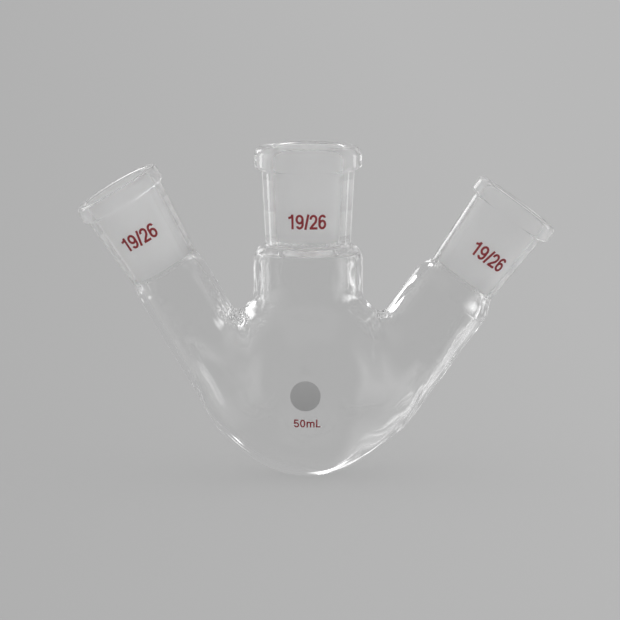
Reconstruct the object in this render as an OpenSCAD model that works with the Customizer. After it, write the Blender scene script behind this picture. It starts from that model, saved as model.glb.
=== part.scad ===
// Three-necked round-bottom flask: a blown bulb, three neck tubes and three ground sockets,
// fused end to end, with a fired enamel marking spot on the front of the bulb.
// The origin is the lowest point of the bulb, on the axis of the centre neck.
// +Z runs up that axis, +X points to the right neck, and -Y is the marked front.
// Each piece is drawn in its neck's own frame: the neck's axis is Z, and a tube ends at its seal,
// the flat ring where the socket stands on it.

/* [Bulb] */
// Outside diameter of the bulb
bulb_od = 51; // [47:0.5:57]
// Thickness of the bulb's wall
bulb_wall = 1.6; // [1.2:0.1:2.2]

/* [Ground joints] */
// Bore of every socket at its mouth
joint_bore = 18.8; // [17:0.1:20]
// Length of the ground bore, from the mouth down to the seal
joint_length = 26; // [20:0.5:32]
// Length of bore over which its diameter narrows by 1 mm
joint_taper = 10; // [8:0.5:16]
// Width of the polished chamfer at the mouth
joint_lip = 0.5; // [0.2:0.1:0.8]

/* [Centre neck] */
// Height of the seal above the top of the bulb
centre_rise = 10.1; // [8:0.1:16]
// Thickness of the tube's wall
centre_tube_wall = 1.6; // [1.2:0.1:2.4]
// Width of the rounded shoulder where the tube is wider than the socket
centre_shoulder = 3.2; // [1.5:0.1:4]
// Thickness of the socket's wall at the seal
centre_seal_wall = 3.1; // [1.5:0.1:3.6]
// Thickness of the socket's wall at the mouth
centre_mouth_wall = 3.1; // [1.5:0.1:3.6]
// How far the rim stands out from the mouth's wall
centre_rim_step = 1.7; // [0.5:0.1:2.5]
// Height of the rim
centre_rim_height = 6.2; // [5:0.1:9]
// Radius of the rim's upper edge
centre_rim_round = 2.4; // [0.8:0.1:3]
// Radius of the rim's lower edge
centre_rim_under = 1.4; // [0.4:0.1:2]

/* [Left neck] */
// Lean of the neck's axis from the vertical, in degrees
left_lean = 31; // [25:0.5:40]
// How far the tube's outer side stands out past the bulb
left_overhang = 1.5; // [0.8:0.1:3]
// Distance up the neck's axis, from beside the bulb's centre to the centre of the tube's round end
left_end_lift = 4.3; // [2:0.1:8]
// Length of the tube, from the centre of its round end to the seal
left_tube_length = 39.7; // [36:0.1:48]
// Thickness of the tube's wall
left_tube_wall = 1.6; // [1.2:0.1:1.9]
// Width of the rounded shoulder where the tube is wider than the socket
left_shoulder = 0.9; // [0.6:0.1:2]
// Thickness of the socket's wall at the seal
left_seal_wall = 1; // [0.9:0.1:2]
// Thickness of the socket's wall at the mouth
left_mouth_wall = 1.8; // [1.2:0.1:2.6]
// How far the rim stands out from the mouth's wall
left_rim_step = 0.7; // [0.4:0.1:2]
// Height of the rim
left_rim_height = 5.2; // [4:0.1:8]
// Radius of the rim's upper edge
left_rim_round = 1; // [0.5:0.1:2]
// Radius of the rim's lower edge
left_rim_under = 0.7; // [0.3:0.1:1.5]

/* [Right neck] */
// Lean of the neck's axis from the vertical, in degrees
right_lean = 36.5; // [28:0.5:42]
// How far the tube's outer side stands out past the bulb
right_overhang = 2.8; // [1.5:0.1:4]
// Distance up the neck's axis, from beside the bulb's centre to the centre of the tube's round end
right_end_lift = 7.6; // [5:0.1:10]
// Length of the tube, from the centre of its round end to the seal
right_tube_length = 36.7; // [34:0.1:45]
// Thickness of the tube's wall
right_tube_wall = 1.6; // [1.2:0.1:2.4]
// Width of the rounded shoulder where the tube is wider than the socket
right_shoulder = 2; // [0.8:0.1:3]
// Thickness of the socket's wall at the seal
right_seal_wall = 1.3; // [0.9:0.1:2.4]
// Thickness of the socket's wall at the mouth
right_mouth_wall = 1.5; // [1.2:0.1:2.6]
// How far the rim stands out from the mouth's wall
right_rim_step = 1.3; // [0.4:0.1:2]
// Height of the rim
right_rim_height = 5.2; // [4:0.1:8]
// Radius of the rim's upper edge
right_rim_round = 1.2; // [0.5:0.1:2]
// Radius of the rim's lower edge
right_rim_under = 0.9; // [0.3:0.1:1.5]

/* [Marking spot] */
// Diameter of the enamel spot
spot_d = 8.2; // [5:0.1:14]
// Thickness of the enamel
spot_thickness = 0.15; // [0.1:0.05:0.4]
// Height of the spot's centre above the bulb's centre
spot_rise = -1.4; // [-8:0.1:8]
// Turn of the spot round the bulb from the front, in degrees
spot_turn = -4.5; // [-20:0.5:20]

/* [Hidden] */
$fn = 128;

// A cut runs this far past the face that it opens
over = 1;

clear_glass = [0.86, 0.91, 0.92, 0.45];
ground_glass = [0.93, 0.94, 0.94, 0.8];
grey_enamel = [0.56, 0.56, 0.56];

bulb_r = bulb_od / 2;
mouth_bore_r = joint_bore / 2;
seal_bore_r = (joint_bore - joint_length / joint_taper) / 2;

centre_r = seal_bore_r + centre_seal_wall + centre_shoulder;
left_r = seal_bore_r + left_seal_wall + left_shoulder;
right_r = seal_bore_r + right_seal_wall + right_shoulder;

centre_tube_length = bulb_r + centre_rise;
left_offset = bulb_r + left_overhang - left_r;
right_offset = bulb_r + right_overhang - right_r;

// The half of a round end that lies below its centre, beside the axis
module round_end(r) {
    intersection() {
        circle(r);
        translate([0, -r]) square([r, r]);
    }
}

// Outline of a tube: round end, straight wall, and a rounded shoulder under the seal
module tube_outline(r, length, shoulder) {
    round_end(r);
    square([r, length - shoulder]);
    square([r - shoulder, length]);
    translate([r - shoulder, length - shoulder]) circle(shoulder);
}

// The space inside a tube: round end, straight bore, and a funnel up to the ground bore
module tube_space(r, length, funnel) {
    round_end(r);
    polygon([
        [0, 0],
        [r, 0],
        [r, length - funnel],
        [seal_bore_r, length],
        [seal_bore_r, length + over],
        [0, length + over]
    ]);
}

// A neck tube before the bulb is cut out of it
module tube(r, length, wall, shoulder) {
    rotate_extrude() difference() {
        tube_outline(r, length, shoulder);
        tube_space(r - wall, length, shoulder + wall);
    }
}

// The same tube's inside as a solid, which opens the bulb under the neck
module tube_core(r, length, wall, shoulder) {
    rotate_extrude() tube_space(r - wall, length, shoulder + wall);
}

// Outline of the thickened rim, with rounded upper and lower edges
module rim_outline(r, height, upper, lower) {
    square([r - upper, height]);
    square([r - lower, height - upper]);
    translate([0, lower]) square([r, height - upper - lower]);
    translate([r - upper, height - upper]) circle(upper);
    translate([r - lower, lower]) circle(lower);
}

// A ground socket standing on its seal: tapered wall, rim, tapered bore and polished mouth
module socket(seal_wall, mouth_wall, rim_step, rim_height, rim_round, rim_under) {
    rotate_extrude() difference() {
        union() {
            polygon([
                [0, 0],
                [seal_bore_r + seal_wall, 0],
                [mouth_bore_r + mouth_wall, joint_length - rim_round],
                [0, joint_length - rim_round]
            ]);
            translate([0, joint_length - rim_height])
                rim_outline(mouth_bore_r + mouth_wall + rim_step, rim_height, rim_round, rim_under);
        }
        polygon([
            [0, -over],
            [seal_bore_r, -over],
            [seal_bore_r, 0],
            [mouth_bore_r, joint_length],
            [mouth_bore_r, joint_length + over],
            [0, joint_length + over]
        ]);
        polygon([
            [0, joint_length - joint_lip],
            [mouth_bore_r - joint_lip / joint_taper / 2, joint_length - joint_lip],
            [mouth_bore_r + joint_lip, joint_length],
            [mouth_bore_r + joint_lip, joint_length + over],
            [0, joint_length + over]
        ]);
    }
}

// Frames of the necks, each with its origin at the centre of the tube's round end
module on_bulb() {
    translate([0, 0, bulb_r]) children();
}

module on_left() {
    on_bulb() rotate([0, -left_lean, 0]) translate([-left_offset, 0, left_end_lift]) children();
}

module on_right() {
    on_bulb() rotate([0, right_lean, 0]) translate([right_offset, 0, right_end_lift]) children();
}

module centre_core() {
    on_bulb() tube_core(centre_r, centre_tube_length, centre_tube_wall, centre_shoulder);
}

module left_core() {
    on_left() tube_core(left_r, left_tube_length, left_tube_wall, left_shoulder);
}

module right_core() {
    on_right() tube_core(right_r, right_tube_length, right_tube_wall, right_shoulder);
}

// Blown bulb, opened under each neck
module bulb() {
    color(clear_glass) difference() {
        on_bulb() sphere(r = bulb_r);
        on_bulb() sphere(r = bulb_r - bulb_wall);
        centre_core();
        left_core();
        right_core();
    }
}

// Neck tubes, each ending on the bulb's outside
module centre_neck_tube() {
    color(clear_glass) difference() {
        on_bulb() tube(centre_r, centre_tube_length, centre_tube_wall, centre_shoulder);
        on_bulb() sphere(r = bulb_r);
    }
}

module left_neck_tube() {
    color(clear_glass) difference() {
        on_left() tube(left_r, left_tube_length, left_tube_wall, left_shoulder);
        on_bulb() sphere(r = bulb_r);
    }
}

module right_neck_tube() {
    color(clear_glass) difference() {
        on_right() tube(right_r, right_tube_length, right_tube_wall, right_shoulder);
        on_bulb() sphere(r = bulb_r);
    }
}

// Ground sockets, each standing on its tube's seal
module centre_socket() {
    color(ground_glass) on_bulb() translate([0, 0, centre_tube_length])
        socket(centre_seal_wall, centre_mouth_wall, centre_rim_step,
               centre_rim_height, centre_rim_round, centre_rim_under);
}

module left_socket() {
    color(ground_glass) on_left() translate([0, 0, left_tube_length])
        socket(left_seal_wall, left_mouth_wall, left_rim_step,
               left_rim_height, left_rim_round, left_rim_under);
}

module right_socket() {
    color(ground_glass) on_right() translate([0, 0, right_tube_length])
        socket(right_seal_wall, right_mouth_wall, right_rim_step,
               right_rim_height, right_rim_round, right_rim_under);
}

// Enamel spot for pencil marks, a thin round skin on the front of the bulb
module marking_spot() {
    color(grey_enamel) on_bulb() intersection() {
        difference() {
            sphere(r = bulb_r + spot_thickness);
            sphere(r = bulb_r);
        }
        rotate([90, 0, spot_turn]) translate([0, spot_rise, 0]) cylinder(d = spot_d, h = bulb_od);
    }
}

bulb();
centre_neck_tube();
left_neck_tube();
right_neck_tube();
centre_socket();
left_socket();
right_socket();
marking_spot();
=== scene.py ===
import math

import bpy
import numpy as np
from mathutils import Matrix, Vector


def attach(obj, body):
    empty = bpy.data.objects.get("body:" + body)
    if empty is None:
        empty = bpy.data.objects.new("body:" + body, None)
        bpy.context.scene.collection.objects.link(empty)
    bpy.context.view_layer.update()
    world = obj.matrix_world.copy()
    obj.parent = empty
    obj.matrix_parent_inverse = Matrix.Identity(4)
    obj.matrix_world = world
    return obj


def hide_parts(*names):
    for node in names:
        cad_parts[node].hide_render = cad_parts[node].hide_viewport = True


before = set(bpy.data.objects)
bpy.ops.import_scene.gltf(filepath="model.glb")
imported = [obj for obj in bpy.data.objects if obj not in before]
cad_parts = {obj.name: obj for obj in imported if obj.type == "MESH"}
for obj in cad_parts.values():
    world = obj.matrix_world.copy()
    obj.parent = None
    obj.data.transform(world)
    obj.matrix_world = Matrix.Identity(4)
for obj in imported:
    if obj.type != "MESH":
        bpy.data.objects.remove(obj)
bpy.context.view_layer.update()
print("frame loaded:", len(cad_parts), "nodes")

mm = 0.001
around = 288  # columns round every neck, the same on pieces that meet
smoothBelow = math.radians(40)  # edges that turn further than this stay sharp


def hexToLinear(text):
    parts = [int(text[i:i + 2], 16) / 255 for i in (1, 3, 5)]
    linear = [p / 12.92 if p <= 0.04045 else ((p + 0.055) / 1.055) ** 2.4 for p in parts]
    return (*linear, 1.0)


def addNode(tree, kind, settings=None, links=None):
    node = tree.nodes.new(kind)
    for name, value in (settings or {}).items():
        if isinstance(name, int) or name in node.inputs:
            node.inputs[name].default_value = value
        else:
            setattr(node, name, value)
    for name, source in (links or {}).items():
        tree.links.new(source, node.inputs[name])
    return node


def newMaterial(name):
    material = bpy.data.materials.new(name)
    material.use_nodes = True
    material.node_tree.nodes.clear()
    return material, material.node_tree


# Finishes

# Borosilicate, drawn and blown: clear and fire polished, a little darker where walls lie behind each
# other, with faint soft ripples, a few mm long, that bend what is seen through it
clearGlass = {"colour": "#FBFBFB", "ior": 1.474, "roughness": 0.0, "ripple": 7.0, "deep": 0.012}


def makeClearGlass():
    material, tree = newMaterial("blown_borosilicate")
    place = addNode(tree, "ShaderNodeTexCoord")
    ripple = addNode(tree, "ShaderNodeTexNoise",
                     {"Scale": 1 / (clearGlass["ripple"] * mm), "Detail": 1.0},
                     {"Vector": place.outputs["Object"]})
    bend = addNode(tree, "ShaderNodeBump", {"Strength": 1.0, "Distance": clearGlass["deep"] * mm},
                   {"Height": ripple.outputs["Fac"]})
    shader = addNode(tree, "ShaderNodeBsdfPrincipled", {
        "Base Color": hexToLinear(clearGlass["colour"]),
        "Roughness": clearGlass["roughness"],
        "IOR": clearGlass["ior"],
        "Transmission Weight": 1.0,
    }, {"Normal": bend.outputs[0]})
    addNode(tree, "ShaderNodeOutputMaterial", links={"Surface": shader.outputs[0]})
    return material


# Borosilicate ground with grit: the same glass, but its skin scatters and looks milky. The grit is
# drawn about five times too coarse, as a real 0.06 mm would not show
groundGlass = {"colour": "#FFFFFF", "ior": 1.474, "grit": 0.3, "uneven": 0.06, "deep": 0.008}

# The ground bore from its mouth down: how rough, what share of light passes, and in how many rows
groundBands = {
    "mouth": {"rough": 0.86, "clear": 0.88, "rows": 5},
    "middle": {"rough": 0.86, "clear": 0.81, "rows": 5},
    "low": {"rough": 0.86, "clear": 0.73, "rows": 4},
    "half": {"rough": 0.55, "clear": 0.86, "rows": 1},
    "worn": {"rough": 0.25, "clear": 0.96, "rows": 1},
}
boreRows = [band for band, look in groundBands.items() for i in range(look["rows"])]
fineRows, fineRow = 2, 1.3  # the last rows, where the frost ends, and their height in mm


def makeGroundGlass(band):
    material, tree = newMaterial("ground_borosilicate_" + band)
    rough, clear = groundBands[band]["rough"], groundBands[band]["clear"]
    place = addNode(tree, "ShaderNodeTexCoord")
    grain = addNode(tree, "ShaderNodeTexNoise",
                    {"Scale": 1 / (groundGlass["grit"] * mm), "Detail": 3.0},
                    {"Vector": place.outputs["Object"]})
    patchy = addNode(tree, "ShaderNodeMapRange", {
        "From Min": 0.3,
        "From Max": 0.7,
        "To Min": rough - groundGlass["uneven"],
        "To Max": rough + groundGlass["uneven"],
    }, {"Value": grain.outputs["Fac"]})
    pits = addNode(tree, "ShaderNodeBump", {"Strength": 1.0, "Distance": groundGlass["deep"] * mm},
                   {"Height": grain.outputs["Fac"]})
    shader = addNode(tree, "ShaderNodeBsdfPrincipled", {
        "Base Color": hexToLinear(groundGlass["colour"]),
        "IOR": groundGlass["ior"],
        "Transmission Weight": clear,
    }, {"Roughness": patchy.outputs[0], "Normal": pits.outputs[0]})
    addNode(tree, "ShaderNodeOutputMaterial", links={"Surface": shader.outputs[0]})
    return material


# Glass fused to glass: the face between two pieces has melted away, so nothing is seen of it
def makeFusedSeal():
    material, tree = newMaterial("fused_seal")
    shader = addNode(tree, "ShaderNodeBsdfPrincipled", {
        "Base Color": hexToLinear(clearGlass["colour"]),
        "Alpha": 0.0,
    })
    addNode(tree, "ShaderNodeOutputMaterial", links={"Surface": shader.outputs[0]})
    return material


# Screen printed enamel, fired on: flat and satin, with a faint grain
greyEnamel = {"colour": "#A9A9A9", "dark": "#A1A1A1", "roughness": 0.5, "grain": 0.35}
redEnamel = {"colour": "#942229", "dark": "#821D23", "roughness": 0.42, "grain": 0.3}


def makeEnamel(name, look):
    material, tree = newMaterial(name)
    place = addNode(tree, "ShaderNodeTexCoord")
    grain = addNode(tree, "ShaderNodeTexNoise", {"Scale": 1 / (look["grain"] * mm), "Detail": 2.0},
                    {"Vector": place.outputs["Object"]})
    tint = addNode(tree, "ShaderNodeMix", {
        "data_type": "RGBA",
        6: hexToLinear(look["dark"]),  # inputs 6 and 7 are the colours that are mixed to output 2
        7: hexToLinear(look["colour"]),
    }, {"Factor": grain.outputs["Fac"]})
    shader = addNode(tree, "ShaderNodeBsdfPrincipled", {"Roughness": look["roughness"]},
                     {"Base Color": tint.outputs[2]})
    addNode(tree, "ShaderNodeOutputMaterial", links={"Surface": shader.outputs[0]})
    return material


glass = makeClearGlass()
ground = {band: makeGroundGlass(band) for band in groundBands}
seal = makeFusedSeal()
grey = makeEnamel("grey_fired_enamel", greyEnamel)
red = makeEnamel("red_fired_enamel", redEnamel)
print("materials made")


# Sizes of the glass, in mm

bulbSize = {"radius": 25.5, "wall": 1.6, "segments": 192, "rings": 96, "weld": 0.003}

# The ground joint: radius at its mouth and where it is sealed to the tube, and its small roundings
jointSize = {"mouth": 9.4, "seal": 8.1, "length": 26.0, "lip": 0.5, "cove": 0.5}

# A neck leans by degrees. Its tube has a round lower end, off the bulb's middle by offset and lift, and
# its length runs from there to the socket. Skirt and melt each have three values: by the flask's
# middle, at front and back, and outside
neckSizes = {
    "centre": {
        "lean": 0.0, "offset": 0.0, "lift": 0.0, "length": 35.6,
        "tube": 14.4, "wall": 1.6, "funnel": 2.8,
        "shoulder": 3.2, "tall": 4.4, "seam": 0.7, "bend": 0.1, "foot": 1.0,
        "sealOut": 11.2, "mouthOut": 12.5,
        "rim": 14.2, "rimHeight": 6.2, "rimUpper": 2.4, "rimLower": 1.4,
        "skirt": (1.4, 1.4, 1.4), "melt": (2.4, 4.0, 2.4),
    },
    "left": {
        "lean": -31.0, "offset": -17.0, "lift": 4.3, "length": 39.7,
        "tube": 10.0, "wall": 1.6, "funnel": 4.6, "ease": (3.0, 1.8),
        "sealOut": 9.1, "mouthOut": 11.2,
        "rim": 11.9, "rimHeight": 4.6, "rimUpper": 1.0, "rimLower": 0.7,
        "skirt": (1.2, 3.0, 5.0), "melt": (2.6, 11.0, 4.0),
    },
    "right": {
        "lean": 36.5, "offset": 16.9, "lift": 7.6, "length": 36.7,
        "tube": 11.4, "wall": 1.6, "funnel": 5.6, "ease": (4.2, 1.8),
        "sealOut": 9.4, "mouthOut": 10.9,
        "rim": 12.2, "rimHeight": 4.6, "rimUpper": 1.2, "rimLower": 0.9,
        "skirt": (1.2, 3.0, 5.0), "melt": (2.6, 11.0, 4.0),
    },
}


def neckPlace(neck):
    # from the neck's own frame, at the centre of its round end, to the flask
    return (Matrix.Translation((0, 0, bulbSize["radius"] * mm))
            @ Matrix.Rotation(math.radians(neck["lean"]), 4, "Y")
            @ Matrix.Translation((neck["offset"] * mm, 0, neck["lift"] * mm)))


def socketPlace(neck):
    # the same, from the seal between tube and socket
    return neckPlace(neck) @ Matrix.Translation((0, 0, neck["length"] * mm))


# Paths and meshes

def smooth(s):
    return s * s * (3 - 2 * s)


def arc(centre, radius, start, end, steps):
    # points on an arc, from one turn to another in degrees
    turns = [math.radians(start + (end - start) * i / steps) for i in range(steps + 1)]
    return [(centre[0] + radius * math.cos(t), centre[1] + radius * math.sin(t)) for t in turns]


def line(start, end, steps):
    return [(start[0] + (end[0] - start[0]) * i / steps, start[1] + (end[1] - start[1]) * i / steps)
            for i in range(steps + 1)]


def joinPaths(*paths):
    # one path, where a point that ends a part and begins the next is kept once
    samePoint = 1e-5
    points = []
    for path in paths:
        for p in path:
            if not points or math.dist(points[-1], p) > samePoint:
                points.append(p)
    return points


def columnTurn(column):
    return 2 * math.pi * column / around


def columnAt(x, y):
    return round(math.atan2(y, x) * around / (2 * math.pi)) % around


def nameIt(piece, name):
    piece.name = name
    piece.data.name = name


def selectOnly(piece):
    bpy.ops.object.select_all(action="DESELECT")
    piece.select_set(True)
    bpy.context.view_layer.objects.active = piece


def faceOutwards():
    bpy.ops.object.mode_set(mode="EDIT")
    bpy.ops.mesh.select_all(action="SELECT")
    bpy.ops.mesh.normals_make_consistent(inside=False)
    bpy.ops.object.mode_set(mode="OBJECT")


def thicken(piece, thickness):
    # a print grows outwards from the glass
    selectOnly(piece)
    thick = piece.modifiers.new("thick", "SOLIDIFY")
    thick.thickness = thickness * mm
    thick.offset = 1.0
    bpy.ops.object.modifier_apply(modifier=thick.name)


def spinWall(name, columns):
    # a ring of glass: a circle is spun about the axis, then each vertex goes to its ring of its column
    count = len(columns[0])
    hub, circle = 0.02, 0.005
    bpy.ops.object.select_all(action="DESELECT")
    bpy.ops.mesh.primitive_circle_add(vertices=count, radius=circle, fill_type="NOTHING",
                                      location=(hub, 0, 0), rotation=(math.pi / 2, 0, 0))
    piece = bpy.context.object
    nameIt(piece, name)
    bpy.ops.object.transform_apply(location=True, rotation=True, scale=True)
    bpy.ops.object.mode_set(mode="EDIT")
    bpy.ops.mesh.select_all(action="SELECT")
    bpy.ops.mesh.spin(steps=around, angle=2 * math.pi, center=(0, 0, 0), axis=(0, 0, 1))
    bpy.ops.mesh.select_all(action="SELECT")
    bpy.ops.mesh.remove_doubles(threshold=1e-6)
    bpy.ops.mesh.normals_make_consistent(inside=False)
    bpy.ops.object.mode_set(mode="OBJECT")
    grid = []
    for vertex in piece.data.vertices:
        x, y, z = vertex.co
        column = columnAt(x, y)
        turn = math.atan2(z, math.hypot(x, y) - hub) - math.pi / 2
        ring = round(turn * count / (2 * math.pi)) % count
        vertex.co = Vector(columns[column][ring]) * mm
        grid.append((ring, column))
    return piece, grid


def bandOf(face, grid, count):
    # the first ring of the band that a face lies in
    rings = sorted({grid[v][0] for v in face.vertices})
    return count - 1 if rings == [0, count - 1] else rings[0]


def finishGlass(piece, place, edgeNormals):
    # the piece goes to its place, is smoothed, and takes its neighbours' normals at the seals
    selectOnly(piece)
    bpy.ops.object.shade_smooth_by_angle(angle=smoothBelow)
    normals = [Vector((0, 0, 0))] * len(piece.data.loops)
    for face in piece.data.polygons:
        if piece.data.materials[face.material_index] == seal:
            continue
        for loop, vertex in zip(face.loop_indices, face.vertices):
            if vertex in edgeNormals:
                normals[loop] = edgeNormals[vertex]
    piece.data.normals_split_custom_set(normals)
    piece.matrix_world = place
    bpy.ops.object.transform_apply(location=True, rotation=True, scale=True)


# Ground sockets

socketRows = {"foot": 12, "wall": 14, "cove": 8, "lower": 12, "side": 4, "upper": 16, "top": 6, "lip": 10}


def socketWall(neck, up):
    # outside radius of the socket's straight wall, at a height above the seal
    length = jointSize["length"] - neck["rimUpper"]
    return neck["sealOut"] + (neck["mouthOut"] - neck["sealOut"]) / length * up


def easedWall(neck, up):
    # a side neck swells gently from the socket into its tube
    below, above = neck["ease"]
    s = (up + below) / (below + above)
    return neck["tube"] + (socketWall(neck, up) - neck["tube"]) * smooth(s)


def shoulderTurn(neck):
    # how far up the centre tube's round shoulder the socket is sealed to it
    return math.acos(neck["seam"] / neck["shoulder"])


def boreTaper():
    return (jointSize["mouth"] - jointSize["seal"]) / (jointSize["length"] - jointSize["lip"])


def boreNormal(turn):
    # which way the inside faces on the ring where tube and socket are fused
    return Vector((-math.cos(turn), -math.sin(turn), boreTaper())).normalized()


def sealNormal(neck, turn):
    # which way the outside faces on the ring where tube and socket are fused
    if "ease" in neck:
        near = 0.01
        slope = (easedWall(neck, near) - easedWall(neck, -near)) / (2 * near)
        tilt = math.atan2(-slope, 1)
    else:
        turned = shoulderTurn(neck)
        tilt = math.atan2(neck["shoulder"] * math.sin(turned), neck["tall"] * math.cos(turned))
    return Vector((math.cos(tilt) * math.cos(turn), math.cos(tilt) * math.sin(turn), math.sin(tilt)))


def socketFoot(neck):
    # the outside of the socket's foot, up to its straight wall
    rows = socketRows["foot"]
    if "ease" in neck:
        above = neck["ease"][1]
        return [(easedWall(neck, above * i / rows), above * i / rows) for i in range(rows + 1)]
    turned = shoulderTurn(neck)
    begin = (neck["sealOut"] + neck["seam"], neck["tall"] * (math.sin(turned) - 1))
    along = (-neck["shoulder"] * math.sin(turned), neck["tall"] * math.cos(turned))
    reach = (socketWall(neck, neck["bend"]) - begin[0]) / along[0]
    bend = (begin[0] + along[0] * reach, begin[1] + along[1] * reach)
    end = (socketWall(neck, neck["foot"]), neck["foot"])
    foot = []
    for i in range(rows + 1):
        u = i / rows
        foot.append(tuple((1 - u) ** 2 * begin[k] + 2 * u * (1 - u) * bend[k] + u * u * end[k]
                          for k in (0, 1)))
    return foot


def socketOutline(neck):
    # from the seal up the outside, over the rim, and down the ground bore, with where the bore starts
    length, mouth, bore = jointSize["length"], jointSize["mouth"], jointSize["seal"]
    lip = jointSize["lip"]
    upper, lower, rim = neck["rimUpper"], neck["rimLower"], neck["rim"]
    under = length - neck["rimHeight"]
    wallUnder = socketWall(neck, under)
    cove = min(jointSize["cove"], rim - lower - wallUnder)
    start = neck["ease"][1] if "ease" in neck else neck["foot"]
    rows = socketRows
    outside = joinPaths(
        socketFoot(neck),
        line((socketWall(neck, start), start), (socketWall(neck, under - cove), under - cove),
             rows["wall"]),
        arc((wallUnder + cove, under - cove), cove, 180, 90, rows["cove"]),
        arc((rim - lower, under + lower), lower, -90, 0, rows["lower"]),
        line((rim, under + lower), (rim, length - upper), rows["side"]),
        arc((rim - upper, length - upper), upper, 0, 90, rows["upper"]),
        line((rim - upper, length), (mouth + lip, length), rows["top"]),
        arc((mouth + lip, length - lip), lip, 90, 180, rows["lip"]),
    )
    frostEnd = (bore + fineRows * fineRow * boreTaper(), fineRows * fineRow)
    inside = joinPaths(line((mouth, length - lip), frostEnd, len(boreRows) - fineRows),
                       line(frostEnd, (bore, 0), fineRows))
    points = joinPaths(outside, inside)
    return points, len(points) - 1 - len(boreRows)


def makeSocket(side):
    neck = neckSizes[side]
    outline, boreStart = socketOutline(neck)
    count = len(outline)
    columns = []
    for i in range(around):
        turn = columnTurn(i)
        columns.append([(r * math.cos(turn), r * math.sin(turn), z) for r, z in outline])
    piece, grid = spinWall(side + "_ground_socket", columns)
    for material in (glass, seal, *ground.values()):
        piece.data.materials.append(material)
    slots = {band: 2 + i for i, band in enumerate(ground)}  # after the clear glass and the seal
    for face in piece.data.polygons:
        ring = bandOf(face, grid, count)
        if ring == count - 1:
            face.material_index = 1
        elif ring >= boreStart:
            face.material_index = slots[boreRows[ring - boreStart]]
    edgeNormals = {}
    for index, (ring, column) in enumerate(grid):
        if ring == 0:
            edgeNormals[index] = sealNormal(neck, columnTurn(column))
        elif ring == count - 1:
            edgeNormals[index] = boreNormal(columnTurn(column))
    finishGlass(piece, socketPlace(neck), edgeNormals)
    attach(piece, "root")
    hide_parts(side + "_socket")


# The blown shape: bulb and neck tubes melted into each other

def inwardSign(neck):
    return -1 if neck["offset"] >= 0 else 1


def acrossNeck(values, inward):
    # one of three values by where it lies round a neck: by the flask's middle, at front and back, outside
    near, side, far = values
    return side + (near - far) / 2 * inward + ((near + far) / 2 - side) * inward * inward


def inNeck(neck, points):
    # points of the flask in a neck's own frame
    back = np.array(neckPlace(neck).inverted())
    return (points @ back[:3, :3].T + back[:3, 3] / mm).T


def outOfBall(points):
    return np.linalg.norm(points - [0, 0, bulbSize["radius"]], axis=1) - bulbSize["radius"]


def blownField(points):
    # how far points lie outside the blown glass, in mm
    field = outOfBall(points)
    for neck in neckSizes.values():
        x, y, z = inNeck(neck, points)
        out = np.hypot(x, y)
        tube = np.where(z > 0, out, np.hypot(out, z)) - neck["tube"]
        melt = acrossNeck(neck["melt"], x / np.maximum(out, 1e-6) * inwardSign(neck))
        close = np.maximum(melt - np.abs(field - tube), 0) / melt
        field = np.minimum(field, tube) - close * close * melt / 4
    return field


# Worked by hand, so the wall is a little thicker here and thinner there: waves of the inside, in mm, each
# with its way and phase from a start and a step, that fade clear of the sockets
wallWaves = {"high": 0.07, "lengths": (11.0, 15.0, 21.0), "turn": (1.1, 2.3), "climb": (0.6, 0.7),
             "phase": 1.7, "fade": 4.0, "clear": 0.5}
# Lines along the tubes, left when they were drawn
drawLines = {"high": 0.012, "round": (11, 17, 25), "fade": 5.0, "edge": 1.5}


def wallWave(points):
    wave = np.zeros(len(points))
    for i, length in enumerate(wallWaves["lengths"]):
        turn = wallWaves["turn"][0] + wallWaves["turn"][1] * i
        climb = wallWaves["climb"][0] - wallWaves["climb"][1] * i
        way = np.array([math.cos(turn), math.sin(turn), climb]) * 2 * math.pi / length
        wave += wallWaves["high"] * np.sin(points @ way + wallWaves["phase"] * i)
    above = np.clip(outOfBall(points) / drawLines["fade"], 0, 1)
    fades = []
    for neck in neckSizes.values():
        x, y, z = inNeck(neck, points)
        within = np.clip((neck["tube"] + drawLines["edge"] - np.hypot(x, y)) / drawLines["edge"], 0, 1)
        for k in drawLines["round"]:
            wave += drawLines["high"] * above * within * np.sin(k * np.arctan2(y, x) + k * k)
        end = neck["length"] - neck["funnel"] - wallWaves["clear"]
        fades.append(smooth(np.clip((end - z) / wallWaves["fade"], 0, 1)))
    for fade in fades:
        wave *= fade
    return wave


def skinField(points, depth):
    return blownField(points) + (depth + wallWave(points) if depth else 0.0)


def skinFacing(points, depth):
    step = 0.02
    return np.stack([(skinField(points + move, depth) - skinField(points - move, depth)) / (2 * step)
                     for move in np.eye(3) * step], axis=1)


def ontoGlass(points, depth):
    # draws points to the outside of the blown glass, or to a depth below it, with the way it faces there
    tries = 10
    points = np.array(points, dtype=float)
    for i in range(tries):
        facing = skinFacing(points, depth)
        points -= (skinField(points, depth) / (facing ** 2).sum(axis=1))[:, None] * facing
    facing = skinFacing(points, depth)
    return points, facing / np.linalg.norm(facing, axis=1)[:, None]


# Neck tubes, each with a skirt at its foot that is part of the bulb's skin

tubeRows = {"skirt": 12, "wall": 36, "swell": 14, "funnel": 14, "crowd": 1.3}  # crowded to the foot


def onWall(radius, t):
    # up the straight wall, or below zero the way round the closed end
    if t >= 0:
        return radius, t
    turn = -t / radius
    return radius * math.cos(turn), -radius * math.sin(turn)


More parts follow.
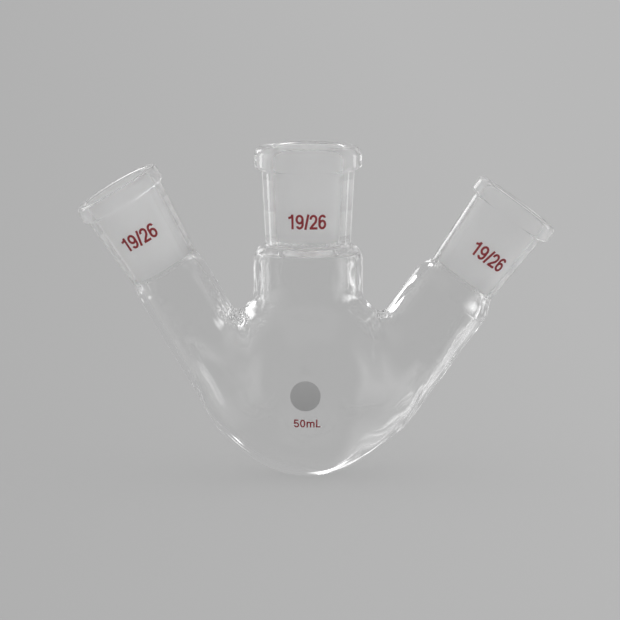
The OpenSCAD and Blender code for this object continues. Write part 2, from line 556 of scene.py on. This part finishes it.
def footOf(neck, turn, radius, ballRadius, skirt):
    # in the half plane at this turn: where the wall meets the bulb, and points from there along the bulb
    ball = Vector((-neck["offset"], 0, -neck["lift"]))
    ux, uy = math.cos(turn), math.sin(turn)
    ballOut = ball.x * ux + ball.y * uy
    section = math.sqrt(ballRadius ** 2 - (ball.x ** 2 + ball.y ** 2 - ballOut ** 2))

    def gap(t):
        r, z = onWall(radius, t)
        return math.hypot(r - ballOut, z - ball.z) - section

    stride, halvings = 0.25, 40  # down the wall until it is inside the bulb, then closer
    high = neck["length"] - neck["funnel"]
    while gap(high - stride) > 0:
        high -= stride
    low = high - stride
    for i in range(halvings):
        middle = (low + high) / 2
        if gap(middle) > 0:
            high = middle
        else:
            low = middle
    crossing = onWall(radius, high)
    first = math.atan2(crossing[1] - ball.z, crossing[0] - ballOut)
    rows = tubeRows["skirt"]
    ways = []
    for way in (1, -1):
        turns = [first + way * skirt * i / rows / section for i in range(rows + 1)]
        points = [(ballOut + section * math.cos(t), ball.z + section * math.sin(t)) for t in turns]
        end = points[-1]
        ways.append((end[0] - radius if end[1] >= 0 else math.hypot(*end) - radius, points))
    return high, max(ways)[1]  # the way that leads out of the tube


def tubeSwell(neck):
    # the outside of the tube's upper end, up to the seal
    radius, length, rows = neck["tube"], neck["length"], tubeRows["swell"]
    if "ease" in neck:
        below = neck["ease"][0]
        return [(easedWall(neck, below * (i / rows - 1)), length + below * (i / rows - 1))
                for i in range(rows + 1)]
    shoulder, tall, turned = neck["shoulder"], neck["tall"], shoulderTurn(neck)
    return [(radius - shoulder + shoulder * math.cos(turned * i / rows),
             length - tall + tall * math.sin(turned * i / rows)) for i in range(rows + 1)]


def tubeFunnel(neck):
    # the inside below the seal, from the bore out to the tube
    rows, taper = tubeRows["funnel"], boreTaper()
    funnel = []
    for i in range(rows + 1):
        s = i / rows
        bore = jointSize["seal"] - taper * neck["funnel"] * s * (1 - s) ** 2
        widen = (neck["tube"] - neck["wall"] - jointSize["seal"]) * smooth(s)
        funnel.append((bore + widen, neck["length"] - neck["funnel"] * s))
    return funnel


def tubeColumn(neck, turn):
    # one column of the wall: from the skirt's edge up the outside, then down the inside to its edge
    radius, inside = neck["tube"], neck["tube"] - neck["wall"]
    ballRadius, ballIn = bulbSize["radius"], bulbSize["radius"] - bulbSize["wall"]
    skirt = acrossNeck(neck["skirt"], math.cos(turn) * inwardSign(neck))
    foot, apron = footOf(neck, turn, radius, ballRadius, skirt)
    footIn = footOf(neck, turn, inside, ballIn, skirt)[0]
    rows, crowd = tubeRows["wall"], tubeRows["crowd"]
    swell, funnel = tubeSwell(neck), tubeFunnel(neck)
    rise, fall = swell[0][1] - foot, funnel[-1][1] - footIn
    outer = apron[::-1] + [onWall(radius, foot + rise * (i / rows) ** crowd) for i in range(1, rows + 1)]
    inner = [onWall(inside, footIn + fall * (1 - i / rows) ** crowd) for i in range(1, rows + 1)]

    ux, uy = math.cos(turn), math.sin(turn)

    def spun(path):
        return [Vector((r * ux, r * uy, z)) for r, z in path]

    ball = Vector((-neck["offset"], 0, -neck["lift"]))
    inner = spun(inner)
    start, end = (inner[-1] - ball).normalized(), (spun(apron)[-1] - ball).normalized()
    rows = tubeRows["skirt"]
    inner += [ball + start.slerp(end, i / rows) * ballIn for i in range(1, rows + 1)]
    return spun(outer), spun(swell[1:]), spun(funnel), inner


def makeTube(side):
    neck = neckSizes[side]
    place = neckPlace(neck)
    parts = [tubeColumn(neck, columnTurn(i)) for i in range(around)]
    outerCount, swellCount, funnelCount, innerCount = (len(part) for part in parts[0])
    count = outerCount + swellCount + funnelCount + innerCount
    columns = [[place @ (p * mm) / mm for part in column for p in part] for column in parts]
    foot = [column[0] * mm for column in columns]
    sealRing, innerStart = outerCount + swellCount - 1, count - innerCount
    edgeNormals = {}
    for first, last, depth, way in ((0, outerCount, 0.0, 1), (innerStart, count, neck["wall"], -1)):
        points, facing = ontoGlass([p for column in columns for p in column[first:last]], depth)
        rows = last - first
        for i, column in enumerate(columns):
            column[first:last] = [Vector(p) for p in points[i * rows:(i + 1) * rows]]
            for k in range(rows):
                edgeNormals[first + k, i] = Vector(facing[i * rows + k]) * way
    for i in range(around):
        edgeNormals[sealRing, i] = place.to_3x3() @ sealNormal(neck, columnTurn(i))
        edgeNormals[sealRing + 1, i] = place.to_3x3() @ boreNormal(columnTurn(i))
    piece, grid = spinWall(side + "_neck_tube_blown", columns)
    for material in (glass, seal):
        piece.data.materials.append(material)
    for face in piece.data.polygons:
        face.material_index = 1 if bandOf(face, grid, count) in (sealRing, count - 1) else 0
    finishGlass(piece, Matrix(), {index: edgeNormals[spot] for index, spot in enumerate(grid)
                                  if spot in edgeNormals})
    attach(piece, "root")
    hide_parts(side + "_neck_tube")
    return foot


feet = {}
for side in neckSizes:
    makeSocket(side)
    feet[side] = makeTube(side)
print("sockets and neck tubes made")


# Blown bulb: a shell with a hole under each neck, cut along the tubes' feet

holePlug = {"over": 1.15, "under": 0.82}  # ends of the plug, in distances of the foot from the middle


def cutHole(shell, foot):
    middle = Vector((0, 0, bulbSize["radius"] * mm))
    bpy.ops.object.select_all(action="DESELECT")
    bpy.ops.mesh.primitive_cylinder_add(vertices=around, radius=1, depth=2, end_fill_type="TRIFAN")
    plug = bpy.context.object
    heart = sum(((p - middle) for p in foot), Vector()) / len(foot)
    for vertex in plug.data.vertices:
        x, y, z = vertex.co
        scale = holePlug["over"] if z > 0 else holePlug["under"]
        if math.hypot(x, y) < 0.5:  # the middle of an end
            end = heart.normalized() * bulbSize["radius"] * mm if z > 0 else heart
            vertex.co = middle + end * scale
        else:
            vertex.co = middle + (foot[columnAt(x, y)] - middle) * scale
    faceOutwards()
    plug.data.materials.append(seal)
    selectOnly(shell)
    cut = shell.modifiers.new("hole", "BOOLEAN")
    cut.object = plug
    cut.operation = "DIFFERENCE"
    cut.solver = "EXACT"
    cut.material_mode = "TRANSFER"
    bpy.ops.object.modifier_apply(modifier=cut.name)
    bpy.data.objects.remove(plug)


def makeBulb():
    outer, inner = bulbSize["radius"] * mm, (bulbSize["radius"] - bulbSize["wall"]) * mm
    middle = Vector((0, 0, outer))
    bpy.ops.object.select_all(action="DESELECT")
    bpy.ops.mesh.primitive_uv_sphere_add(segments=bulbSize["segments"], ring_count=bulbSize["rings"],
                                         radius=outer, location=middle)
    shell = bpy.context.object
    nameIt(shell, "blown_bulb")
    bpy.ops.object.transform_apply(location=True, rotation=True, scale=True)
    bpy.ops.object.mode_set(mode="EDIT")
    bpy.ops.mesh.select_all(action="SELECT")
    bpy.ops.mesh.duplicate()
    share = inner / outer
    bpy.ops.transform.resize(value=(share, share, share), center_override=middle)
    bpy.ops.mesh.flip_normals()
    bpy.ops.object.mode_set(mode="OBJECT")
    for material in (glass, seal):
        shell.data.materials.append(material)
    for foot in feet.values():
        cutHole(shell, foot)
    selectOnly(shell)
    bpy.ops.object.mode_set(mode="EDIT")
    bpy.ops.mesh.select_all(action="SELECT")
    bpy.ops.mesh.remove_doubles(threshold=bulbSize["weld"] * mm)
    bpy.ops.mesh.dissolve_degenerate(threshold=bulbSize["weld"] * mm)
    bpy.ops.object.mode_set(mode="OBJECT")

    # both skins go to the melted shape, and face as it does
    halfway = (outer + inner) / 2
    facings = [None] * len(shell.data.vertices)
    for depth, way in ((0.0, 1), (bulbSize["wall"], -1)):
        skin = [v for v in shell.data.vertices if ((v.co - middle).length > halfway) == (way > 0)]
        ball = outer if way > 0 else inner
        start = [middle + (v.co - middle).normalized() * ball for v in skin]
        points, facing = ontoGlass([p / mm for p in start], depth)
        for vertex, point, face in zip(skin, points, facing):
            vertex.co = Vector(point) * mm
            facings[vertex.index] = Vector(face) * way
    selectOnly(shell)
    bpy.ops.object.shade_smooth()
    normals = [Vector((0, 0, 0))] * len(shell.data.loops)
    for face in shell.data.polygons:
        sealFace = shell.data.materials[face.material_index] == seal
        for loop, vertex in zip(face.loop_indices, face.vertices):
            normals[loop] = face.normal.copy() if sealFace else facings[vertex]
    shell.data.normals_split_custom_set(normals)
    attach(shell, "root")
    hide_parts("bulb")


makeBulb()
print("bulb made")


# Enamel spot on the front of the bulb, in mm and degrees, dropped from the bulb's middle

spotSize = {"diameter": 7.9, "drop": 1.4, "turn": -4.5, "lift": 0.01, "thick": 0.08,
            "sides": 96, "rings": 8}


def makeSpot():
    radius = spotSize["diameter"] / 2 * mm
    bpy.ops.object.select_all(action="DESELECT")
    bpy.ops.mesh.primitive_circle_add(vertices=spotSize["sides"], radius=radius, fill_type="NGON")
    spot = bpy.context.object
    nameIt(spot, "enamel_spot")
    bpy.ops.object.mode_set(mode="EDIT")
    bpy.ops.mesh.select_all(action="SELECT")
    for i in range(spotSize["rings"] - 1):
        bpy.ops.mesh.inset(thickness=radius / spotSize["rings"])
    bpy.ops.mesh.poke()
    bpy.ops.object.mode_set(mode="OBJECT")
    ball = (bulbSize["radius"] + spotSize["lift"]) * mm
    for vertex in spot.data.vertices:
        x, z = vertex.co.x, vertex.co.y - spotSize["drop"] * mm
        vertex.co = (x, -math.sqrt(ball ** 2 - x * x - z * z), z)
    spot.data.transform(Matrix.Translation((0, 0, bulbSize["radius"] * mm))
                        @ Matrix.Rotation(math.radians(spotSize["turn"]), 4, "Z"))
    faceOutwards()
    if spot.data.polygons[0].normal.y > 0:
        spot.data.flip_normals()
    thicken(spot, spotSize["thick"])
    bpy.ops.object.shade_smooth_by_angle(angle=smoothBelow)
    spot.data.materials.append(grey)
    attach(spot, "root")
    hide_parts("marking_spot")


makeSpot()
print("spot made")


# Printed size figures, drawn in strokes of one width and wrapped on the glass

def bow(centre, radii, start, end):
    # part of an oval, from one turn to another in degrees
    steps = 28
    turns = [math.radians(start + (end - start) * i / steps) for i in range(steps + 1)]
    return [(centre[0] + radii[0] * math.cos(t), centre[1] + radii[1] * math.sin(t)) for t in turns]


def nineLines(half):
    return [bow((0.28, 0.67), (0.28 - half, 0.33 - half), 0, 360),
            [(0.56 - half, 0.67)] + bow((0.27, 0.34), (0.29 - half, 0.34 - half), 0, -90)
            + bow((0.27, 0.24), (0.235 - half, 0.24 - half), -90, -172)]


def strokesOf(letter, half):
    # width of a figure and the middle lines of its strokes, for a height of one
    if letter == "1":
        return 0.37, [[(0.37 - half, 0), (0.37 - half, 1)],
                      [(0.37 - half, 0.97), (0.24, 0.85), (0.16, 0.79), (0.05, 0.76), (0, 0.755)]]
    if letter == "9":
        return 0.56, nineLines(half)
    if letter == "6":
        return 0.56, [[(0.56 - x, 1 - y) for x, y in path] for path in nineLines(half)]
    if letter == "2":
        return 0.54, [bow((0.265, 0.70), (0.265 - half, 0.30 - half), 185, -25)
                      + [(0.40, 0.48), (0.22, 0.28), (half, half)],
                      [(0.01, half), (0.54, half)]]
    if letter == "/":
        return 0.3, [[(half * 0.6, -0.02), (0.3 - half * 0.6, 1.02)]]
    if letter == "5":
        return 0.55, [[(0.5, 1 - half), (0.14, 1 - half)], [(0.14, 1), (0.07, 0.46)],
                      [(0.075, 0.5)] + bow((0.27, 0.33), (0.28 - half, 0.33 - half), 135, -165)]
    if letter == "0":
        return 0.56, [bow((0.28, 0.5), (0.28 - half, 0.5 - half), 0, 360)]
    if letter == "m":
        arch = [(half, 0.5)] + bow((0.215 + half / 2, 0.48), (0.215 - half / 2, 0.25 - half), 160, 0)
        return 0.86, [[(half, 0), (half, 0.72)], arch + [(0.43, 0)],
                      [(x + 0.43 - half, y) for x, y in arch] + [(0.86 - half, 0)]]
    if letter == "L":
        return 0.48, [[(half, 0), (half, 1)], [(half, half), (0.48, half)]]


# In mm and degrees, with the height of the middle above the seal, or above the bulb's middle. Strokes and
# gaps are for a height of one
figureSizes = {
    "centre": {"words": "19/26", "height": 3.9, "width": 10.2, "up": 7.1, "turn": -4.0, "stroke": 0.155},
    "left": {"words": "19/26", "height": 4.0, "width": 10.0, "up": 12.1, "turn": -8.0, "stroke": 0.155},
    "right": {"words": "19/26", "height": 4.0, "width": 10.0, "up": 10.2, "turn": 7.5, "stroke": 0.155},
    "bulb": {"words": "50mL", "height": 2.3, "width": 7.0, "up": -8.73, "turn": -3.5, "stroke": 0.145},
}
figureGaps = {"1": 0.14, "/": 0.03, "5": 0.1, "0": 0.12, "m": 0.14}
figurePrint = {"gap": 0.06, "cut": 0.06, "lift": 0.012, "thick": 0.05}


def strokeBand(path, half, start, vertices, faces):
    # a flat band along a path, cut fine enough to be wrapped
    points = [path[0]]
    for p in path[1:]:
        last = points[-1]
        points += line(last, p, max(1, math.ceil(math.dist(last, p) / figurePrint["cut"])))[1:]
    closed = math.dist(points[0], points[-1]) < 1e-6
    if closed:
        points.pop()
    first, count = len(vertices), len(points)
    for i, (x, y) in enumerate(points):
        before = points[i - 1] if i or closed else points[0]
        after = points[(i + 1) % count] if i + 1 < count or closed else points[-1]
        dx, dy = after[0] - before[0], after[1] - before[1]
        size = math.hypot(dx, dy)
        for k in (1, 0, -1):
            vertices.append((start + x - dy / size * half * k, y + dx / size * half * k, 0))
    for i in range(count if closed else count - 1):
        here, there = first + 3 * i, first + 3 * ((i + 1) % count)
        faces += [(here + k, there + k, there + k + 1, here + k + 1) for k in (0, 1)]


def wrapOnBulb(piece, size):
    ball = bulbSize["radius"] + figurePrint["lift"]
    level = math.asin(size["up"] / ball)
    for vertex in piece.data.vertices:
        x, y = vertex.co.x / mm, vertex.co.y / mm
        rise, turn = level + y / ball, x / (ball * math.cos(level))
        vertex.co = Vector((math.sin(turn) * math.cos(rise), -math.cos(turn) * math.cos(rise),
                            math.sin(rise))) * ball * mm
    return Matrix.Translation((0, 0, bulbSize["radius"] * mm))


def wrapOnSocket(piece, size, neck):
    for vertex in piece.data.vertices:
        x, up = vertex.co.x / mm, vertex.co.y / mm + size["up"]
        radius = socketWall(neck, up) + figurePrint["lift"]
        turn = x / socketWall(neck, size["up"])
        vertex.co = Vector((math.sin(turn) * radius, -math.cos(turn) * radius, up)) * mm
    return socketPlace(neck)


def makeFigures(side):
    size = figureSizes[side]
    half = size["stroke"] / 2
    vertices, faces, start = [], [], 0.0
    for letter in size["words"]:
        wide, paths = strokesOf(letter, half)
        for path in paths:
            strokeBand(path, half, start, vertices, faces)
        start += wide + figureGaps.get(letter, figurePrint["gap"])
    data = bpy.data.meshes.new(side + "_size_figures")
    data.from_pydata(vertices, [], faces)
    piece = bpy.data.objects.new(data.name, data)
    bpy.context.collection.objects.link(piece)
    xs = [v.co.x for v in data.vertices]
    middle, wide = (min(xs) + max(xs)) / 2, max(xs) - min(xs)
    for vertex in data.vertices:
        vertex.co.x = (vertex.co.x - middle) / wide * size["width"] * mm
        vertex.co.y = (vertex.co.y - 0.5) * size["height"] * mm
    for face in data.polygons:
        if face.normal.z < 0:
            face.flip()
    if side == "bulb":
        place = wrapOnBulb(piece, size)
    else:
        place = wrapOnSocket(piece, size, neckSizes[side])
    data.transform(place @ Matrix.Rotation(math.radians(size["turn"]), 4, "Z"))
    thicken(piece, figurePrint["thick"])
    piece.data.materials.append(red)
    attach(piece, "root")


for side in figureSizes:
    makeFigures(side)
print("figures printed")


# Floor, light and camera

# The floor's colour goes from darker at the left to lighter at the right over the fade in mm, a painted
# falloff of light as from a lamp on the right, and the floor shows a plain share of it without shadow
stageLook = {"grey": "#B3B3B3", "left": "#AFAFAF", "right": "#B8B8B8", "fade": 200.0, "plain": 0.8,
             "floor": 8.0, "ambient": 1.0,
             "sun": 0.03, "sunTurn": -20.0, "sunRise": 30.0, "sunWidth": 60.0}


# Paper: matt, without shine
def makeFloor():
    bpy.ops.object.select_all(action="DESELECT")
    bpy.ops.mesh.primitive_circle_add(vertices=128, radius=stageLook["floor"], fill_type="NGON")
    floor = bpy.context.object
    floor.name = "floor"
    material, tree = newMaterial("grey_paper")
    place = addNode(tree, "ShaderNodeTexCoord")
    split = addNode(tree, "ShaderNodeSeparateXYZ", links={"Vector": place.outputs["Object"]})
    half = stageLook["fade"] / 2 * mm
    # painted light: the paper is coloured darker at the left and lighter at the right, as a lamp on the
    # right would light it
    paintedFalloffAcross = addNode(tree, "ShaderNodeMapRange", {"From Min": -half, "From Max": half},
                     {"Value": split.outputs["X"]})
    paintedFalloffTone = addNode(tree, "ShaderNodeMix", {
        "data_type": "RGBA",
        6: hexToLinear(stageLook["left"]),
        7: hexToLinear(stageLook["right"]),
    }, {"Factor": paintedFalloffAcross.outputs[0]})
    paper = addNode(tree, "ShaderNodeBsdfPrincipled", {"Roughness": 1.0, "Specular IOR Level": 0.0},
                    {"Base Color": paintedFalloffTone.outputs[2]})
    plain = addNode(tree, "ShaderNodeEmission", links={"Color": paintedFalloffTone.outputs[2]})
    path = addNode(tree, "ShaderNodeLightPath")
    share = addNode(tree, "ShaderNodeMath", {"operation": "MULTIPLY", 1: stageLook["plain"]},
                    {0: path.outputs["Is Camera Ray"]})
    shown = addNode(tree, "ShaderNodeMixShader",
                    links={0: share.outputs[0], 1: paper.outputs[0], 2: plain.outputs[0]})
    addNode(tree, "ShaderNodeOutputMaterial", links={"Surface": shown.outputs[0]})
    floor.data.materials.append(material)
    floor.visible_glossy = False
    floor.visible_transmission = False


def makeWorld():
    # a grey backdrop for what is looked at, also in and through glass, and a white room that lights paper
    world = bpy.data.worlds.new("grey_room")
    bpy.context.scene.world = world
    world.use_nodes = True
    tree = world.node_tree
    tree.nodes.clear()
    path = addNode(tree, "ShaderNodeLightPath")
    direct = addNode(tree, "ShaderNodeMath", {"operation": "MAXIMUM"},
                     {0: path.outputs["Is Camera Ray"], 1: path.outputs["Is Glossy Ray"]})
    seen = addNode(tree, "ShaderNodeMath", {"operation": "MAXIMUM"},
                   {0: direct.outputs[0], 1: path.outputs["Is Transmission Ray"]})
    unlit = addNode(tree, "ShaderNodeMath", {"operation": "LESS_THAN", 1: 0.5},
                    {0: path.outputs["Diffuse Depth"]})
    lookedAt = addNode(tree, "ShaderNodeMath", {"operation": "MULTIPLY"},
                       {0: seen.outputs[0], 1: unlit.outputs[0]})
    room = addNode(tree, "ShaderNodeBackground",
                   {"Color": (1, 1, 1, 1), "Strength": stageLook["ambient"]})
    backdrop = addNode(tree, "ShaderNodeBackground",
                       {"Color": hexToLinear(stageLook["grey"]), "Strength": 1.0})
    mix = addNode(tree, "ShaderNodeMixShader",
                  links={0: lookedAt.outputs[0], 1: room.outputs[0], 2: backdrop.outputs[0]})
    addNode(tree, "ShaderNodeOutputWorld", links={"Surface": mix.outputs[0]})


def outward(turn, rise):
    # direction from the flask; turn 0 is the front, to the camera, and 90 the right
    t, r = math.radians(turn), math.radians(rise)
    return Vector((math.sin(t) * math.cos(r), -math.cos(t) * math.cos(r), math.sin(r)))


def makeSun():
    way = outward(stageLook["sunTurn"], stageLook["sunRise"])
    bpy.ops.object.light_add(type="SUN", location=way * 2)
    sun = bpy.context.object
    sun.name = "soft_key"
    sun.rotation_euler = way.to_track_quat("Z", "Y").to_euler()
    sun.data.energy = stageLook["sun"]
    sun.data.angle = math.radians(stageLook["sunWidth"])
    sun.visible_glossy = False
    sun.visible_transmission = False


# White walls and lamps round the grey backdrop, which show in the glass alone: turn and rise of the
# middle, width and height in degrees, and how much of each half fades to its edge
panels = {
    "left_lamp": {"turn": -104, "rise": 6, "wide": 40, "tall": 74, "glow": 0.9, "soft": 0.9},
    "right_lamp": {"turn": 72, "rise": 2, "wide": 34, "tall": 74, "glow": 0.7, "soft": 0.9},
    "right_table": {"turn": 112, "rise": -44, "wide": 76, "tall": 52, "glow": 0.38, "soft": 0.8},
    "table_edge": {"turn": 158, "rise": -20, "wide": 24, "tall": 12, "glow": 0.15, "soft": 0.9},
    "left_table": {"turn": -100, "rise": -28, "wide": 60, "tall": 40, "glow": 0.2, "soft": 0.8},
    "left_strip": {"turn": -124, "rise": 4, "wide": 12, "tall": 46, "glow": 2.0, "soft": 0.4},
    "right_strip": {"turn": 116, "rise": -2, "wide": 14, "tall": 40, "glow": 1.45, "soft": 0.4},
    "back_left": {"turn": -151, "rise": 18, "wide": 20, "tall": 22, "glow": 1.8, "soft": 0.5},
    "level_left": {"turn": -160, "rise": -7, "wide": 18, "tall": 13, "glow": 0.4, "soft": 0.8},
    "level_right": {"turn": 160, "rise": -7, "wide": 17, "tall": 13, "glow": 0.4, "soft": 0.8},
    "low_right": {"turn": 168, "rise": -33, "wide": 17, "tall": 16, "glow": 1.3, "soft": 0.5},
    "low_left": {"turn": -159, "rise": -31, "wide": 9, "tall": 6, "glow": 1.0, "soft": 0.5},
    "ceiling": {"turn": 0, "rise": 78, "wide": 70, "tall": 70, "glow": 0.15, "soft": 0.5},
}
panelStand = {"far": 1.5, "aim": 0.04, "power": 4}  # in m, in m, and in watts per m2 at a glow of one


def makePanel(name, look):
    way, far = outward(look["turn"], look["rise"]), panelStand["far"]
    bpy.ops.object.light_add(type="AREA", location=Vector((0, 0, panelStand["aim"])) + way * far)
    lamp = bpy.context.object
    lamp.name = name
    lamp.rotation_euler = way.to_track_quat("Z", "Y").to_euler()
    lamp.data.shape = "RECTANGLE"
    lamp.data.size = 2 * far * math.tan(math.radians(look["wide"] / 2))
    lamp.data.size_y = 2 * far * math.tan(math.radians(look["tall"] / 2))
    lamp.data.energy = panelStand["power"] * look["glow"] * lamp.data.size * lamp.data.size_y
    lamp.visible_camera = False
    lamp.visible_diffuse = False
    lamp.data.use_nodes = True  # a softbox: brightest in its middle, fading to its edges
    tree = lamp.data.node_tree
    tree.nodes.clear()
    spot = addNode(tree, "ShaderNodeNewGeometry")
    parts = addNode(tree, "ShaderNodeSeparateXYZ", links={"Vector": spot.outputs["Parametric"]})
    fades = []
    for axis in ("X", "Y"):
        off = addNode(tree, "ShaderNodeMath", {"operation": "SUBTRACT", 1: 0.5}, {0: parts.outputs[axis]})
        away = addNode(tree, "ShaderNodeMath", {"operation": "ABSOLUTE"}, {0: off.outputs[0]})
        fades.append(addNode(tree, "ShaderNodeMapRange", {
            "interpolation_type": "SMOOTHSTEP",
            "From Min": 0.5,
            "From Max": 0.5 - look["soft"] / 2,
        }, {"Value": away.outputs[0]}))
    both = addNode(tree, "ShaderNodeMath", {"operation": "MULTIPLY"},
                   {0: fades[0].outputs[0], 1: fades[1].outputs[0]})
    glow = addNode(tree, "ShaderNodeEmission", links={"Strength": both.outputs[0]})
    addNode(tree, "ShaderNodeOutputLight", links={"Surface": glow.outputs[0]})


# The camera stands away m from the flask, and sees the bulb's middle at these pixels of the frame
cameraLook = {"turn": -3.0, "rise": 7.0, "away": 2.5, "pixelsPerMm": 3.80, "bulbAt": (308.0, 378.5),
              "frame": 620, "sensor": 36}


def makeCamera():
    toward = outward(cameraLook["turn"], cameraLook["rise"])
    t = math.radians(cameraLook["turn"])
    right = Vector((math.cos(t), math.sin(t), 0))
    up = right.cross(-toward)
    half = cameraLook["frame"] / 2
    scale = cameraLook["pixelsPerMm"] / mm
    target = (Vector((0, 0, bulbSize["radius"] * mm))
              + right * ((half - cameraLook["bulbAt"][0]) / scale)
              + up * ((cameraLook["bulbAt"][1] - half) / scale))
    bpy.ops.object.camera_add(location=target + toward * cameraLook["away"])
    camera = bpy.context.object
    camera.rotation_mode = "QUATERNION"
    camera.rotation_quaternion = (-toward).to_track_quat("-Z", "Y")
    camera.data.sensor_width = cameraLook["sensor"]
    camera.data.lens = scale * cameraLook["away"] * cameraLook["sensor"] / cameraLook["frame"]
    camera.data.clip_start = 0.1
    camera.data.clip_end = 50
    bpy.context.scene.camera = camera


makeFloor()
makeWorld()
makeSun()
for name, look in panels.items():
    makePanel(name, look)
makeCamera()
scene = bpy.context.scene
scene.view_settings.view_transform = "Standard"
for bounces in ("max_bounces", "transmission_bounces", "glossy_bounces", "transparent_max_bounces"):
    setattr(scene.cycles, bounces, 128)  # light goes through many walls
print("stage set")
